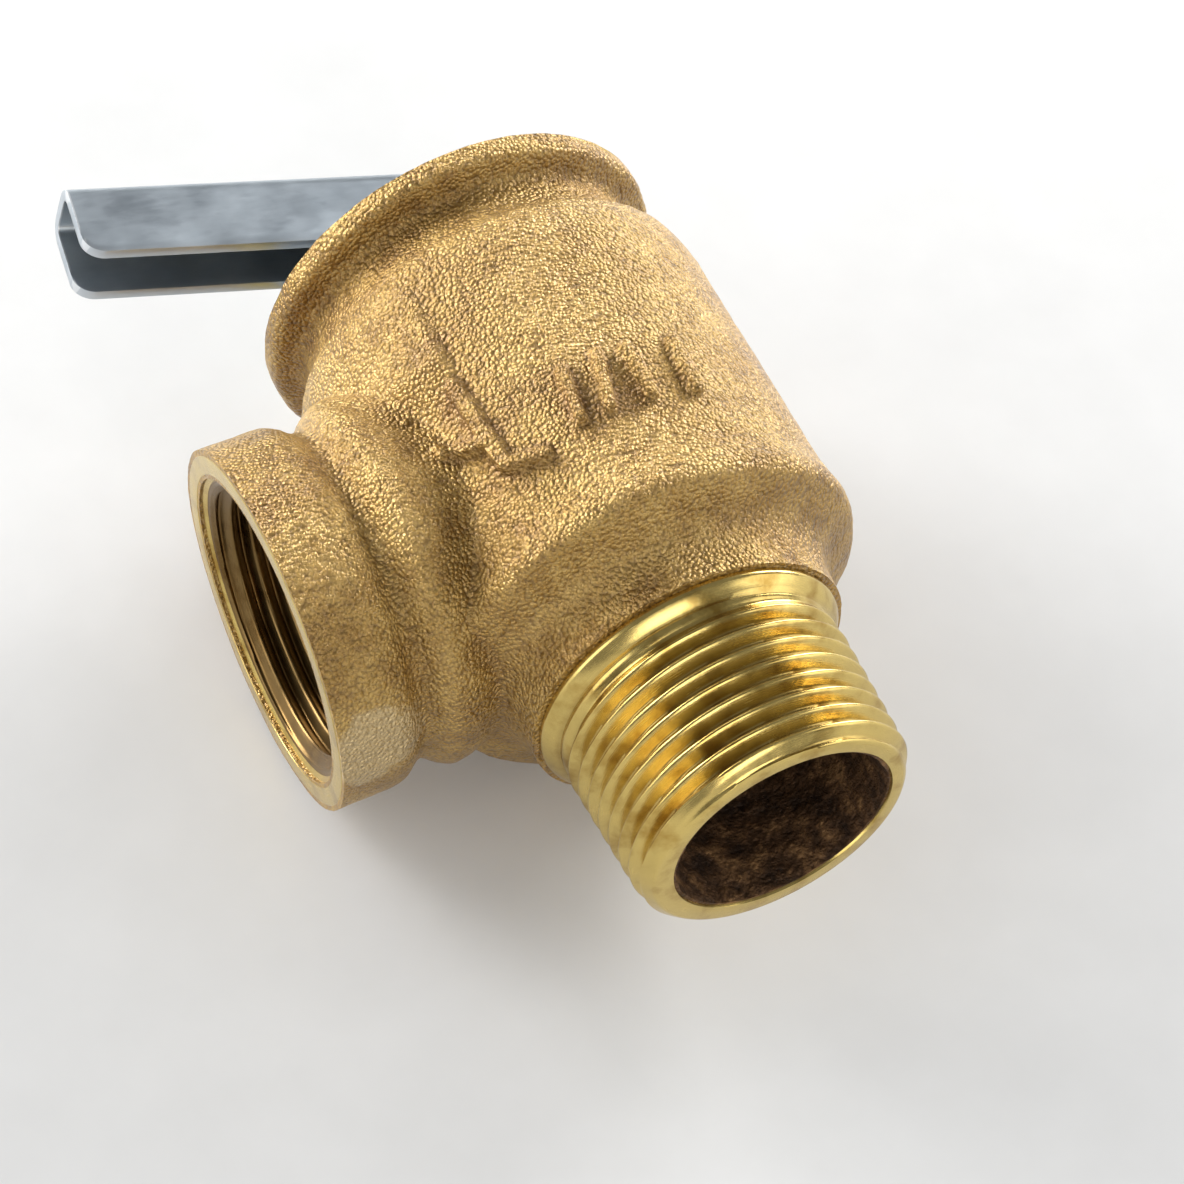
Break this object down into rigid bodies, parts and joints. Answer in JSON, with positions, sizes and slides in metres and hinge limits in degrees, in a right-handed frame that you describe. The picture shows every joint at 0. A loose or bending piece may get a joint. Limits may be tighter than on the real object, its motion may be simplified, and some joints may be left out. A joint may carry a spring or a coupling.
{
  "type": "pressure relief valve",
  "caption": "Cast bronze side-outlet pressure relief valve with a threaded inlet, a female side outlet and a folded steel test lever.",
  "frame": {"origin": "centre of the inlet's end face, on the valve's axis", "axes": "+Z along the valve's axis from the inlet up to the bonnet, -X along the outlet, away from the body"},
  "size_m": [0.053, 0.04, 0.0825],
  "materials": {
    "cast_bronze": "sand cast, grainy",
    "brass": "machined",
    "copper": "soft annealed",
    "zinc": "zinc plated",
    "steel": "stainless, turned",
    "rubber": "matt",
    "fibre": "pressed fibre"
  },
  "bodies": {
    "housing": {"valve_body": "cast_bronze", "seat_gasket": "copper", "seat_ring": "brass", "clamp_sleeve": "zinc", "spring_seat": "zinc", "cap_gasket": "fibre", "bonnet_cap": "zinc", "set_screw": "brass", "guide_bush": "copper", "main_spring": "steel", "diaphragm": "rubber"},
    "stem_and_disc": {"stem": "steel", "disc_holder": "brass", "seat_disc": "rubber", "disc_washer": "steel", "disc_screw": "steel", "lower_washer": "steel", "pressure_plate": "zinc", "stem_nut": "brass", "lever_pin": "steel", "pin_clip": "steel"},
    "test_lever": {"lever": "zinc"}
  },
  "joints": [
    {"name": "stem_lift", "type": "slide", "parent": "housing", "child": "stem_and_disc", "axis": [0, 0, 1], "range_m": [0, 0.002], "stiffness_N_per_m": 8000, "springref_m": -0.006, "deforming": ["main_spring", "diaphragm"]},
    {"name": "lever_swing", "type": "hinge", "parent": "stem_and_disc", "child": "test_lever", "pos_m": [0, 0, 0.072], "axis": [-0.2487, 0.9686, 0], "range_deg": [0, 30]}
  ],
  "couplings": [
    {"joint": "lever_swing", "follows": "stem_lift", "rad_per_m": 261.75}
  ]
}
